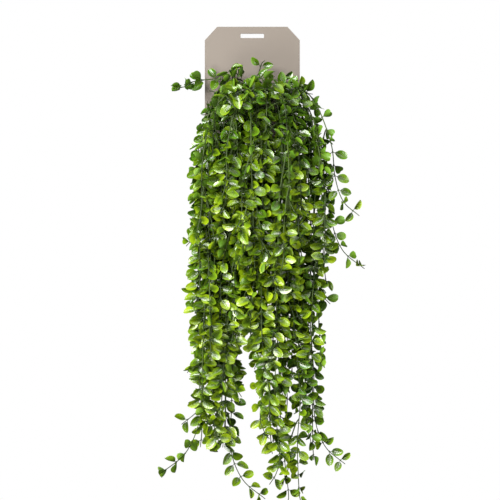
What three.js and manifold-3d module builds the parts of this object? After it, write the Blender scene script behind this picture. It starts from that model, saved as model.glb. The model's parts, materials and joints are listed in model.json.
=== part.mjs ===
// Artificial creeping fig hanging bush on its retail hang card, in millimetres, +Z up.
// The origin is the middle of the hang slot on the card's back face, -Y is towards the viewer.
// Plastic vines plug into a moulded stock, which a cable tie holds to the card, and they
// arch out of it and hang straight down in front of the card and below it.
import * as THREE from "three";
import { mergeVertices } from "three/addons/utils/BufferGeometryUtils.js";
import Module from "manifold-3d";

const wasm = await Module();
wasm.setup();

// Fit between two pieces that touch
const SEAT = 0.3;

// Slivers left by a join that are finer than this are smoothed away
const SLIVER = 0.01;

// Hang card
const CARD_WIDTH = 130;
const CARD_TOP = 12.4;
const CARD_LENGTH = 170;
const CARD_THICK = 2;
const CORNER_ACROSS = 17;
const CORNER_DOWN = 18.4;
const SLOT_WIDTH = 32;
const SLOT_HEIGHT = 6;
const SLOT_CORNER = 1.2;

// Moulded stock: a round head with a plain socket for each vine, on a short tapered shaft
const STEM_RADIUS = 1;
const SPRIG_RADIUS = 0.85;
const HEAD_RADIUS = 14;
const HEAD = new THREE.Vector3(3, -(CARD_THICK + SEAT + HEAD_RADIUS), -90);
const SOCKET_DEPTH = 3.5;
const SHAFT_RADIUS = 6.5;
const SHAFT_END_RADIUS = 4.5;
const SHAFT_END = -152;

// Cable tie round the shaft, through two slits, with its strap pressed into the card's back
const TIE_HEIGHT = -112;
const TIE_WIDTH = 3;
const TIE_THICK = 0.7;
const TIE_SINK = 0.2;
const TIE_LOCK = [5, 4, 5.4];
const SLIT_PLAY = 0.35;

// Vines: out of the head, over in an arch, then down with a slight wander to a swept tip
const EXIT_REACH = 5;
const ARCH_LIFT = 45;
const ARCH_POINTS = [0.4, 0.75];
const HANG_SPAN = 60;
const WANDER_ACROSS = [-7, 7];
const WANDER_DEEP = [-4, 4];
const SWEEP_LEAST = 14;
const SWEEP_SHARE = 0.6;
const BEND_SIDE = 0.15;
const KNEE_SIDE = 0.3;
const KNEE_RISE = 0.25;

// Sprigs: where they root along a vine, how far out they reach, how low they hang
const SPRIG_FIRST = 0.09;
const SPRIG_SPREAD = 0.62;
const SPRIG_PLACE = [0.2, 0.8];
const SPRIG_REACH = [11, 22];
const SPRIG_DROP = [60, 170];
const SPRIG_TURNS = 8;
const SPRIG_LEAD = 9;
const SPRIG_RISE = 12;
const SPRIG_FLICK = 9;

// Lines are drawn in steps, stems in longer straight chords, and clearance is sampled
const LINE_STEPS = 10;
const CHORD = 32;
const LEAST_CHORDS = 3;
const SAMPLE_STEP = 5;
const STEM_CLEAR = 5;
const OWN_STEM_SAMPLES = 6;
const SOLID_SPRIGS = 2;

// Leaves: a thin stalk and a broad blade with a short point, in pairs along the stem
const PAIR_STEP = 17;
const BARE_TIP = [8, 12];
const STALK_LENGTH = 3.5;
const BLADE_LENGTH = 16;
const BLADE_HALF = 6.2;
const BLADE_THICK = 0.9;
const LEAF_CLEAR = 5.2;
const LEAF_SPACING = 35;
const WALL_CLEAR = -3.6;
const VINE_FIRST_PAIR = [24, 34];
const SPRIG_FIRST_PAIR = [12, 20];
const PAIR_STRETCH = [0.85, 1.15];
const PAIR_PHASE = [-70, 70];
const PAIR_RATE = [-30, 30];
const PAIR_TURN = [-30, 30];
const PHASE_LIMIT = 75;
const LEAF_LEAN = [0, 46];
const LEAF_ROLL = [-55, 55];
const LEAF_SIZE = [0.84, 1.12];

// The vines from the back row to the crown: the way each leaves the head, as an azimuth from
// the viewer's side and an elevation, then where it turns down, its tip, and its side sprigs
const VINES = [
  ["mid_back", [-50, -16], [-22, -27, -120], [-26, -26, -350], 4],
  ["right_back", [62, -16], [62, -24, -140], [54, -22, -410], 4],
  ["left_tail", [-88, -16], [-62, -38, -150], [-46, -44, -562], 5],
  ["left_back", [-82, 8], [-52, -28, -138], [-95, -34, -527], 4],
  ["left_cross", [-54, 8], [-38, -48, -136], [17, -58, -622], 5],
  ["mid_left", [-27, 8], [-14, -54, -126], [-20, -60, -394], 4],
  ["mid_low", [0, 8], [5, -52, -122], [8, -60, -402], 4],
  ["mid_inner", [27, 8], [25, -54, -128], [4, -60, -478], 4],
  ["right_long", [54, 8], [48, -46, -142], [47, -52, -634], 5],
  ["right_wall", [82, 8], [86, -24, -176], [105, -26, -366], 3],
  ["left_wall", [-90, 30], [-74, -26, -168], [-89, -30, -288], 3],
  ["left_sweep", [-60, 30], [-58, -70, -156], [-121, -84, -585], 5],
  ["left_inner", [-30, 30], [-28, -78, -134], [-14, -92, -483], 4],
  ["mid_long", [0, 30], [8, -78, -128], [22, -88, -538], 4],
  ["right_inner", [30, 30], [38, -78, -138], [22, -92, -596], 4],
  ["right_front", [60, 30], [60, -66, -146], [66, -78, -630], 4],
  ["right_sweep", [90, 30], [76, -44, -150], [123, -52, -577], 4],
  ["left_edge", [-75, 50], [-68, -50, -158], [-86, -60, -455], 4],
  ["crown_front_left", [-35, 50], [-22, -96, -106], [-28, -104, -255], 3],
  ["mid_front", [2, 50], [-2, -98, -116], [-2, -110, -404], 5],
  ["crown_front_right", [38, 50], [42, -94, -108], [50, -104, -285], 3],
  ["right_edge", [75, 50], [90, -58, -172], [90, -66, -447], 4],
  ["right_low", [112, 50], [98, -34, -180], [149, -48, -318], 2],
  ["top_left", [-126, 70], [-80, -24, -66], [-107, -26, -75], 0],
  ["crown_left", [-54, 70], [-46, -90, -108], [-50, -98, -225], 2],
  ["crown_front", [18, 70], [18, -92, -100], [16, -104, -200], 3],
  ["right_high", [90, 70], [104, -50, -150], [141, -60, -248], 2],
  ["shoulder", [162, 70], [54, -14, -68], [82, -18, -82], 0],
  ["top_sprig", [0, 90], [10, -24, -50], [17, -28, -38], 0],
  ["top_bunch", [-112, 50], [-19, -22, -62], [-25, -28, -50], 0],
];

// Where the sprigs may hang: the curtain's sides, front and back, below the crown, above the
// longest tip, and outside the gaps between and below its two tails
const CURTAIN = { left: -76, right: 100, front: -118, back: -16, top: -100, bottom: -628 };
const TAIL_GAPS = [
  { left: -19, right: -1, top: -405 },
  { left: -30, right: 20, top: -490 },
  { left: -90, right: -30, top: -560 },
];

// Seeded draws
const SEED = 11;
let state = SEED;

function draw([low, high]) {
  state = (state * 1664525 + 1013904223) % 4294967296;
  return low + ((high - low) * state) / 4294967296;
}

function vector(x, y, z) {
  return new THREE.Vector3(x, y, z);
}

// Weighted sum of vectors, given as pairs of weight and vector
function blend(...terms) {
  const sum = vector(0, 0, 0);
  for (const [weight, part] of terms) {
    sum.addScaledVector(part, weight);
  }
  return sum;
}

// A closed mesh as a solid that can be joined and cut
function solid(geometry) {
  const bare = geometry.clone();
  bare.deleteAttribute("normal");
  bare.deleteAttribute("uv");
  const merged = mergeVertices(bare, 1e-4);
  return new wasm.Manifold(
    new wasm.Mesh({
      numProp: 3,
      vertProperties: new Float32Array(merged.attributes.position.array),
      triVerts: new Uint32Array(merged.index.array),
    }),
  );
}

function surface(body) {
  const mesh = body.getMesh();
  const geometry = new THREE.BufferGeometry();
  geometry.setAttribute("position", new THREE.BufferAttribute(mesh.vertProperties, 3));
  geometry.setIndex(new THREE.BufferAttribute(mesh.triVerts, 1));
  geometry.computeVertexNormals();
  return geometry;
}

// One strand of vine: the smooth line through its way points, and the chords its stem follows
class Strand {
  constructor(vine, way, parent, root) {
    this.vine = vine;
    this.parent = parent;
    const curve = new THREE.CatmullRomCurve3(way, false, "catmullrom", 0.5);
    this.line = curve.getPoints(LINE_STEPS * (way.length - 1));
    this.run = [0];
    for (let i = 1; i < this.line.length; i += 1) {
      this.run.push(this.run[i - 1] + this.line[i].distanceTo(this.line[i - 1]));
    }
    this.length = this.run[this.run.length - 1];
    this.samples = [];
    for (let s = 0; s < this.length; s += SAMPLE_STEP) {
      this.samples.push(this.at(s));
    }
    // A vine's first stretch is its straight plug, and its chords start at the plug's end
    this.plug = parent ? 0 : SOCKET_DEPTH + EXIT_REACH;
    const seated = parent ? [parent.seat(root), ...way.slice(1)] : way.slice(1);
    this.path = new THREE.CatmullRomCurve3(seated, false, "catmullrom", 0.5);
    this.chords = this.path.getSpacedPoints(Math.max(LEAST_CHORDS, Math.round(this.length / CHORD)));
  }

  // Point at a distance along the smooth line
  at(s) {
    let i = 1;
    while (i < this.run.length - 1 && this.run[i] < s) {
      i += 1;
    }
    const along = (s - this.run[i - 1]) / (this.run[i] - this.run[i - 1]);
    return this.line[i - 1].clone().lerp(this.line[i], Math.min(1, Math.max(0, along)));
  }

  heading(s) {
    const ahead = this.at(Math.min(s + 2, this.length));
    return ahead.sub(this.at(Math.max(s - 2, 0))).normalize();
  }

  // Point at the same distance along the stem's chords, where a stalk or a sprig is rooted
  seat(s) {
    const span = ((s - this.plug) / (this.length - this.plug)) * (this.chords.length - 1);
    const i = Math.min(this.chords.length - 2, Math.floor(span));
    return this.chords[i].clone().lerp(this.chords[i + 1], span - i);
  }
}

function exitDirection([azimuth, elevation]) {
  const a = THREE.MathUtils.degToRad(azimuth);
  const e = THREE.MathUtils.degToRad(elevation);
  return vector(Math.cos(e) * Math.sin(a), -Math.cos(e) * Math.cos(a), Math.sin(e));
}

// Out of its socket, over in an arch, down to where it hangs, and out to the tip at the end
function vineWay([, exit, hangAt, tipAt]) {
  const hang = vector(...hangAt);
  const tip = vector(...tipAt);
  const direction = exitDirection(exit);
  const out = blend([1, HEAD], [HEAD_RADIUS + EXIT_REACH, direction]);
  const way = [blend([1, HEAD], [HEAD_RADIUS - SOCKET_DEPTH, direction]), out];
  const lift = ARCH_LIFT * Math.max(0, direction.z) ** 2;
  for (const u of ARCH_POINTS) {
    const point = blend([1 - u, out], [u, hang]);
    const fallen = (out.z - hang.z) * (1 - Math.sqrt(1 - u * u));
    point.z = out.z - fallen + lift * u * (1 - u);
    way.push(point);
  }
  way.push(hang);
  const side = vector(tip.x - hang.x, tip.y - hang.y, 0);
  const sweep = Math.min(SWEEP_SHARE * (hang.z - tip.z), SWEEP_LEAST + side.length());
  const bend = blend([1, hang], [BEND_SIDE, side]).setZ(tip.z + sweep);
  const spans = Math.max(1, Math.round((hang.z - bend.z) / HANG_SPAN));
  for (let k = 1; k <= spans; k += 1) {
    const point = blend([1 - k / spans, hang], [k / spans, bend]);
    if (k < spans) {
      point.x += draw(WANDER_ACROSS);
      point.y += draw(WANDER_DEEP);
    }
    way.push(point);
  }
  const knee = blend([1, hang], [KNEE_SIDE, side]).setZ(tip.z + KNEE_RISE * sweep);
  way.push(blend([0.25, bend], [0.5, knee], [0.25, tip]), tip);
  return way;
}

// A sprig leaves its vine sideways, hangs beside it and flicks out at its tip
function sprigWay(main, s, turn, reach, drop) {
  const start = main.at(s);
  const on = main.heading(s);
  const out = vector(Math.cos(turn), Math.sin(turn), 0);
  const down = vector(0, 0, -1);
  const risen = blend([1, start], [SPRIG_RISE, on]);
  return [
    start,
    blend([1, start], [SPRIG_LEAD, on], [0.35 * reach, out]),
    blend([1, risen], [0.35 * drop, down], [reach, out]),
    blend([1, risen], [0.75 * drop, down], [1.1 * reach, out]),
    blend([1, risen], [drop, down], [1.1 * reach + SPRIG_FLICK, out]),
  ];
}

function insideCurtain(strand) {
  return strand.line.every(({ x, y, z }) => {
    const across = x >= CURTAIN.left && x <= CURTAIN.right;
    const deep = y >= CURTAIN.front && y <= CURTAIN.back;
    const inGap = TAIL_GAPS.some(({ left, right, top }) => z < top && x > left && x < right);
    return across && deep && z <= CURTAIN.top && !inGap;
  });
}

function isClear(points, others, distance) {
  return !points.some((p) => others.some((q) => p.distanceToSquared(q) <= distance * distance));
}

// A sprig is clear of the other vines from its root on, and of its own once it has left it
function sprigIsClear(sprig, strands) {
  const near = sprig.samples.slice(1);
  const far = sprig.samples.slice(OWN_STEM_SAMPLES);
  return strands.every((other) =>
    isClear(other.vine === sprig.vine ? far : near, other.samples, STEM_CLEAR),
  );
}

const mains = VINES.map((row) => new Strand(row[0], vineWay(row)));
const strands = [...mains];
mains.forEach((main, index) => {
  const count = VINES[index][4];
  for (let k = 0; k < count; k += 1) {
    const root = main.length * (SPRIG_FIRST + (SPRIG_SPREAD * (k + draw(SPRIG_PLACE))) / count);
    const reach = draw(SPRIG_REACH);
    const drop = draw(SPRIG_DROP);
    const turn = draw([0, 360]);
    for (let trial = 0; trial < SPRIG_TURNS; trial += 1) {
      const angle = THREE.MathUtils.degToRad(turn + (360 * trial) / SPRIG_TURNS);
      const way = sprigWay(main, root, angle, reach, drop);
      const sprig = new Strand(main.vine, way, main, root);
      const fits = way[4].z >= CURTAIN.bottom && insideCurtain(sprig);
      if (fits && sprigIsClear(sprig, strands)) {
        strands.push(sprig);
        break;
      }
    }
  }
});

// The solids keep every vine, and every second sprig along it
const solidStrands = strands.filter((strand) => {
  const sprigs = strands.filter(({ vine, parent }) => parent && vine === strand.vine);
  return sprigs.indexOf(strand) % SOLID_SPRIGS < 1;
});

// The leaf pairs of a strand from its tip to its root. Their upper faces turn out from the
// bush and to the front, each pair is turned a little from the last, and they lean to the tip.
const BUSH_MIDDLE = vector(3, -50, 0);
const FACING = vector(0, -0.9, 0.35);
const OUTWARD = 0.7;

function leafPairs(strand) {
  const pairs = [];
  const first = draw(strand.parent ? SPRIG_FIRST_PAIR : VINE_FIRST_PAIR);
  let phase = draw(PAIR_PHASE);
  let rate = draw(PAIR_RATE);
  let s = strand.length - draw(BARE_TIP);
  while (s > first) {
    const along = strand.heading(s);
    const radial = strand.at(s).sub(BUSH_MIDDLE).setZ(0);
    radial.divideScalar(Math.max(1, radial.length()));
    const open = blend([1, FACING], [OUTWARD, radial]);
    open.addScaledVector(along, -open.dot(along)).normalize();
    const beside = along.clone().cross(open);
    const turn = THREE.MathUtils.degToRad(phase + draw(PAIR_TURN));
    const face = blend([Math.cos(turn), open], [Math.sin(turn), beside]);
    const side = blend([Math.cos(turn), beside], [-Math.sin(turn), open]);
    const lean = THREE.MathUtils.degToRad(draw(LEAF_LEAN));
    const size = draw(LEAF_SIZE);
    const leaves = [1, -1].map((sign) => {
      const axis = blend([sign * Math.cos(lean), side], [Math.sin(lean), along]);
      const across = face.clone().cross(axis);
      const roll = THREE.MathUtils.degToRad(draw(LEAF_ROLL));
      return {
        axis,
        across: blend([Math.cos(roll), across], [Math.sin(roll), face]),
        up: blend([Math.cos(roll), face], [-Math.sin(roll), across]),
        size,
      };
    });
    pairs.push({ strand, seat: strand.seat(s), s, leaves });
    phase += rate;
    if (Math.abs(phase) > PHASE_LIMIT) {
      rate = -rate;
    }
    s -= PAIR_STEP * draw(PAIR_STRETCH);
  }
  return pairs;
}

// A point of a leaf, u along the blade from the stalk's end, v across it, and w up from it
function onBlade({ seat }, leaf, u, v, w = 0) {
  return blend(
    [1, seat],
    [leaf.size * (STALK_LENGTH + u * BLADE_LENGTH), leaf.axis],
    [leaf.size * v * BLADE_HALF, leaf.across],
    [w, leaf.up],
  );
}

// A leaf as one closed body, flat behind and gently domed in front, with its point at the
// strand's tip side and its narrow root sunk in the stem
const BLADE_LOW = [0.12, 0.78];
const BLADE_HIGH = [0.52, 1];
const BLADE_DOME = 0.36;
const ROOT_SUNK = 0.4;

function leafGeometry(pair, leaf) {
  const root = blend([1, pair.seat], [-ROOT_SUNK, leaf.axis]);
  const leftLow = onBlade(pair, leaf, BLADE_LOW[0], BLADE_LOW[1]);
  const rightLow = onBlade(pair, leaf, BLADE_LOW[0], -BLADE_LOW[1]);
  const leftHigh = onBlade(pair, leaf, BLADE_HIGH[0], BLADE_HIGH[1]);
  const rightHigh = onBlade(pair, leaf, BLADE_HIGH[0], -BLADE_HIGH[1]);
  const tip = onBlade(pair, leaf, 1, 0);
  const dome = onBlade(pair, leaf, BLADE_DOME, 0, BLADE_THICK);
  const edge = [root, rightLow, rightHigh, tip, leftHigh, leftLow];
  const points = edge.flatMap((corner, index) => [dome, corner, edge[(index + 1) % edge.length]]);
  points.push(root, leftLow, rightLow, leftLow, rightHigh, rightLow);
  points.push(leftLow, leftHigh, rightHigh, leftHigh, tip, rightHigh);
  return new THREE.BufferGeometry().setFromPoints(points);
}

// Points along a blade's middle and near its edges, for keeping a pair clear of other vines
const MIDRIB_SPOTS = [0.1, 0.42, 0.74, 1];
const EDGE_SPOTS = [0.25, 0.62];
const EDGE_ACROSS = 0.8;

function pairSamples(pair) {
  return pair.leaves.flatMap((leaf) => [
    ...MIDRIB_SPOTS.map((u) => onBlade(pair, leaf, u, 0)),
    ...EDGE_SPOTS.map((u) => onBlade(pair, leaf, u, EDGE_ACROSS)),
    ...EDGE_SPOTS.map((u) => onBlade(pair, leaf, u, -EDGE_ACROSS)),
  ]);
}

// From the tips up, the pairs that stand clear of every other vine and of the card's plane,
// spaced along each strand
function chosenPairs() {
  const pairsOf = new Map(strands.map((strand) => [strand, leafPairs(strand)]));
  const chosen = [];
  const rows = solidStrands.map((strand) => ({
    strand,
    pairs: pairsOf.get(strand),
    next: 0,
    last: Infinity,
  }));
  for (let round = 0; rows.some((row) => row.next < row.pairs.length); round += 1) {
    for (const row of rows) {
      while (row.next < row.pairs.length) {
        const pair = row.pairs[row.next];
        row.next += 1;
        if (row.last - pair.s < LEAF_SPACING) {
          continue;
        }
        const samples = pairSamples(pair);
        const others = solidStrands.filter((other) => other.vine !== row.strand.vine);
        const stemsClear = others.every((other) => isClear(samples, other.samples, LEAF_CLEAR));
        const leavesClear = chosen.every((other) => isClear(samples, other.samples, LEAF_CLEAR));
        const wallClear = samples.every(({ y }) => y < WALL_CLEAR);
        if (stemsClear && leavesClear && wallClear) {
          chosen.push({ ...pair, samples });
          row.last = pair.s;
          break;
        }
      }
    }
  }
  return chosen;
}

// Three-sided stem along a path
function stemGeometry(extrudePath, steps, radius) {
  const section = new THREE.Shape();
  for (let side = 0; side < 3; side += 1) {
    const angle = (2 * Math.PI * side) / 3;
    const corner = [radius * Math.cos(angle), radius * Math.sin(angle)];
    if (side === 0) {
      section.moveTo(...corner);
    } else {
      section.lineTo(...corner);
    }
  }
  return new THREE.ExtrudeGeometry(section, { steps, extrudePath });
}

function vineSolid(vine, pairs) {
  const [main, ...sprigs] = solidStrands.filter((strand) => strand.vine === vine);
  const stem = ({ path, chords }, radius) => solid(stemGeometry(path, chords.length - 1, radius));
  const [socket, out] = main.line.filter((point, index) => index % LINE_STEPS === 0);
  const past = out.clone().sub(socket).setLength(STEM_RADIUS).add(out);
  const plug = stemGeometry(new THREE.LineCurve3(socket, past), 1, STEM_RADIUS);
  let body = stem(main, STEM_RADIUS).add(solid(plug));
  for (const sprig of sprigs) {
    body = body.add(stem(sprig, SPRIG_RADIUS));
  }
  for (const pair of pairs.filter(({ strand }) => strand.vine === vine)) {
    for (const leaf of pair.leaves) {
      body = body.add(solid(leafGeometry(pair, leaf)));
    }
  }
  return body.simplify(SLIVER);
}

// A rectangle with round corners, as a path round its middle
function roundedRectangle(path, width, height, radius, x = 0, y = 0) {
  const w = width / 2;
  const h = height / 2;
  path.moveTo(x - w + radius, y - h);
  path.lineTo(x + w - radius, y - h);
  path.absarc(x + w - radius, y - h + radius, radius, -Math.PI / 2, 0);
  path.lineTo(x + w, y + h - radius);
  path.absarc(x + w - radius, y + h - radius, radius, 0, Math.PI / 2);
  path.lineTo(x - w + radius, y + h);
  path.absarc(x - w + radius, y + h - radius, radius, Math.PI / 2, Math.PI);
  path.lineTo(x - w, y - h + radius);
  path.absarc(x - w + radius, y - h + radius, radius, Math.PI, 1.5 * Math.PI);
  return path;
}

// Flat board lying in XY, stood up with its front towards -Y and its back face at Y = 0
function standUp(geometry) {
  return geometry.rotateX(Math.PI / 2);
}

const TIE_INSIDE = SHAFT_RADIUS + SEAT;
const TIE_BACK = -TIE_SINK;

function headerCard() {
  const half = CARD_WIDTH / 2;
  const bottom = CARD_TOP - CARD_LENGTH;
  const board = new THREE.Shape([
    new THREE.Vector2(-half, bottom),
    new THREE.Vector2(half, bottom),
    new THREE.Vector2(half, CARD_TOP - CORNER_DOWN),
    new THREE.Vector2(half - CORNER_ACROSS, CARD_TOP),
    new THREE.Vector2(-half + CORNER_ACROSS, CARD_TOP),
    new THREE.Vector2(-half, CARD_TOP - CORNER_DOWN),
  ]);
  board.holes.push(roundedRectangle(new THREE.Path(), SLOT_WIDTH, SLOT_HEIGHT, SLOT_CORNER));
  const card = standUp(
    new THREE.ExtrudeGeometry(board, { depth: CARD_THICK, bevelEnabled: false, curveSegments: 3 }),
  );
  const slitWidth = TIE_THICK + 2 * SLIT_PLAY;
  const slitHeight = TIE_WIDTH + 2 * SLIT_PLAY;
  const slitMiddle = TIE_INSIDE + TIE_THICK / 2;
  let body = solid(card);
  for (const side of [-1, 1]) {
    const slit = new THREE.BoxGeometry(slitWidth, 3 * CARD_THICK, slitHeight);
    slit.translate(HEAD.x + side * slitMiddle, -CARD_THICK / 2, TIE_HEIGHT);
    body = body.subtract(solid(slit));
  }
  const channelDepth = TIE_SINK + TIE_THICK + SEAT;
  const channel = new THREE.BoxGeometry(2 * slitMiddle, 2 * channelDepth, slitHeight);
  channel.translate(HEAD.x, 0, TIE_HEIGHT);
  return body.subtract(solid(channel));
}

function stemStock() {
  const head = new THREE.SphereGeometry(HEAD_RADIUS, 16, 8).rotateX(Math.PI / 2);
  head.translate(HEAD.x, HEAD.y, HEAD.z);
  const top = HEAD.z - 0.6 * HEAD_RADIUS;
  const profile = [
    new THREE.Vector2(0, SHAFT_END),
    new THREE.Vector2(0.7 * SHAFT_END_RADIUS, SHAFT_END),
    new THREE.Vector2(SHAFT_END_RADIUS, SHAFT_END + 0.4 * SHAFT_END_RADIUS),
    new THREE.Vector2(SHAFT_RADIUS, TIE_HEIGHT - 3 * TIE_WIDTH),
    new THREE.Vector2(SHAFT_RADIUS, top),
    new THREE.Vector2(0, top),
  ];
  const shaft = new THREE.LatheGeometry(profile, 12).rotateX(Math.PI / 2);
  shaft.translate(HEAD.x, HEAD.y, 0);
  let body = solid(head).add(solid(shaft));
  const length = SOCKET_DEPTH + SEAT + EXIT_REACH;
  for (const [, exit] of VINES) {
    const direction = exitDirection(exit);
    const socket = new THREE.CylinderGeometry(STEM_RADIUS + SEAT, STEM_RADIUS + SEAT, length, 5);
    socket.applyQuaternion(new THREE.Quaternion().setFromUnitVectors(vector(0, 1, 0), direction));
    const middle = blend([1, HEAD], [HEAD_RADIUS - SOCKET_DEPTH - SEAT + length / 2, direction]);
    socket.translate(middle.x, middle.y, middle.z);
    body = body.subtract(solid(socket));
  }
  return body;
}

// The band's plan: flat behind the card's face, straight through the slits, round in front
function bandPlan(shape, radius, back) {
  shape.moveTo(-radius, back);
  shape.lineTo(-radius, HEAD.y);
  shape.absarc(0, HEAD.y, radius, Math.PI, 2 * Math.PI);
  shape.lineTo(radius, back);
  return shape;
}

function cardTie() {
  const plan = bandPlan(new THREE.Shape(), TIE_INSIDE + TIE_THICK, TIE_BACK);
  plan.holes.push(bandPlan(new THREE.Path(), TIE_INSIDE, TIE_BACK - TIE_THICK));
  const band = new THREE.ExtrudeGeometry(plan, {
    depth: TIE_WIDTH,
    bevelEnabled: false,
    curveSegments: 10,
  });
  band.translate(HEAD.x, 0, TIE_HEIGHT - TIE_WIDTH / 2);
  const lock = new THREE.BoxGeometry(...TIE_LOCK);
  const lockFace = HEAD.y - TIE_INSIDE - TIE_THICK / 2;
  lock.translate(HEAD.x, lockFace - TIE_LOCK[1] / 2, TIE_HEIGHT);
  return solid(band).add(solid(lock));
}

const LEAF_GREEN = new THREE.MeshStandardMaterial({ color: 0x5a7a1c, roughness: 0.42, metalness: 0 });
const CARD_TAUPE = new THREE.MeshStandardMaterial({ color: 0xb0a497, roughness: 0.75, metalness: 0 });
const STOCK_GREEN = new THREE.MeshStandardMaterial({ color: 0x39471f, roughness: 0.5, metalness: 0 });
const TIE_BLACK = new THREE.MeshStandardMaterial({ color: 0x1d1f1c, roughness: 0.45, metalness: 0 });

const bush = new THREE.Group();

function place(name, body, material) {
  const mesh = new THREE.Mesh(surface(body), material.clone());
  mesh.name = name;
  bush.add(mesh);
}

place("header_card", headerCard(), CARD_TAUPE);
place("stem_stock", stemStock(), STOCK_GREEN);
place("card_tie", cardTie(), TIE_BLACK);
const pairs = chosenPairs();
for (const [vine] of VINES) {
  place(`vine_${vine}`, vineSolid(vine, pairs), LEAF_GREEN);
}

export default bush;
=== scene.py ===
# Artificial creeping fig hanging bush on its hang card: finish, foliage and studio, in metres.
# The part's frame is kept: origin in the hang slot on the card's back, -Y towards the viewer.
import json
import math

import bpy
import numpy as np
from mathutils import Matrix, Vector

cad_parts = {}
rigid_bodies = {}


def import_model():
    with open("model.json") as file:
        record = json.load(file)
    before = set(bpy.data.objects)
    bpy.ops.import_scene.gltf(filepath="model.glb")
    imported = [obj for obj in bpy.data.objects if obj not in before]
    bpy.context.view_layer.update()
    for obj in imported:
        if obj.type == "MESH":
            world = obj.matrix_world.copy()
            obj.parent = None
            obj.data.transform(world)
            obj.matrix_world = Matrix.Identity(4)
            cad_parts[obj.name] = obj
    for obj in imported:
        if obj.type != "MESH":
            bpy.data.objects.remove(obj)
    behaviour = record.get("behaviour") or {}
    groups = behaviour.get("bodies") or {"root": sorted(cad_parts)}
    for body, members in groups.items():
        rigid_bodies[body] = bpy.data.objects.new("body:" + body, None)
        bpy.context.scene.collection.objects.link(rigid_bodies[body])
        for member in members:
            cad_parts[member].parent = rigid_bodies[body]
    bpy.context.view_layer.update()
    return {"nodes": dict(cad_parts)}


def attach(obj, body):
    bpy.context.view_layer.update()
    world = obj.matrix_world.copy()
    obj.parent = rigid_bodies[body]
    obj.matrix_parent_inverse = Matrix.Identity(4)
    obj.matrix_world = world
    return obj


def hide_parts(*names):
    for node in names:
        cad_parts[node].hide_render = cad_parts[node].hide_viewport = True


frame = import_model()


# Camera: level, straight in front of the card, at the height of the bush's middle. One pixel
# of the photograph is 1.37 mm at the card, so its 500 pixels take in 685 mm there.
MM = 0.001
PIXEL = 1.37
SLOT_PIXEL = (252.3, 36.07)
FRAME_PIXELS = 500
LENS = 85.0
SENSOR = 36.0
FARTHEST_SEEN = 20.0
view_x = (FRAME_PIXELS / 2 - SLOT_PIXEL[0]) * PIXEL
view_z = (SLOT_PIXEL[1] - FRAME_PIXELS / 2) * PIXEL
view_distance = FRAME_PIXELS * PIXEL * LENS / SENSOR
camera_data = bpy.data.cameras.new("camera")
camera_data.lens = LENS
camera_data.sensor_width = SENSOR
camera_data.clip_end = FARTHEST_SEEN


def add_object(name, data):
    """A new object at the origin for a mesh, a lamp or a camera."""
    made = bpy.data.objects.new(name, data)
    bpy.context.scene.collection.objects.link(made)
    return made


camera = add_object("camera", camera_data)
camera.location = Vector((view_x, -view_distance, view_z)) * MM
camera.rotation_euler = (math.pi / 2, 0, 0)
bpy.context.scene.camera = camera


# Hang card: die-cut grey board about 2 mm thick, printed a plain matt taupe on both faces, with
# bare board at its cut edges and a slot punched for the display peg.
def add_node(tree, kind, settings, sockets):
    """Adds a node to any tree: its settings first, then the values or links of its sockets."""
    node = tree.nodes.new(kind)
    for name, value in settings.items():
        setattr(node, name, value)
    for name, value in sockets.items():
        if isinstance(value, Wire):
            value = value.socket
        if isinstance(value, bpy.types.NodeSocket):
            tree.links.new(value, node.inputs[name])
        elif isinstance(value, tuple) and len(value) == 3 and node.inputs[name].type == "RGBA":
            node.inputs[name].default_value = (*value, 1)
        else:
            node.inputs[name].default_value = value
    return node


class Wire:
    """A socket of a finish, written in formulas: each operator adds its Math node."""

    def __init__(self, tree, socket):
        self.tree = tree
        self.socket = socket

    def math(self, operation, first, second=None):
        sockets = {0: first} if second is None else {0: first, 1: second}
        node = add_node(self.tree, "ShaderNodeMath", {"operation": operation}, sockets)
        return Wire(self.tree, node.outputs[0])

    def __add__(self, other):
        return self.math("ADD", self, other)

    def __sub__(self, other):
        return self.math("SUBTRACT", self, other)

    def __mul__(self, other):
        return self.math("MULTIPLY", self, other)

    def __pow__(self, other):
        return self.math("POWER", self, other)

    def __radd__(self, other):
        return self.math("ADD", other, self)

    def __rsub__(self, other):
        return self.math("SUBTRACT", other, self)

    def __rmul__(self, other):
        return self.math("MULTIPLY", other, self)

    def abs(self):
        return self.math("ABSOLUTE", self)

    def sine(self):
        return self.math("SINE", self)

    def smooth(self, low, high):
        """0 below low and 1 above high, with a soft step between."""
        settings = {"interpolation_type": "SMOOTHSTEP"}
        sockets = {"Value": self, "From Min": low, "From Max": high}
        node = add_node(self.tree, "ShaderNodeMapRange", settings, sockets)
        return Wire(self.tree, node.outputs[0])


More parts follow.
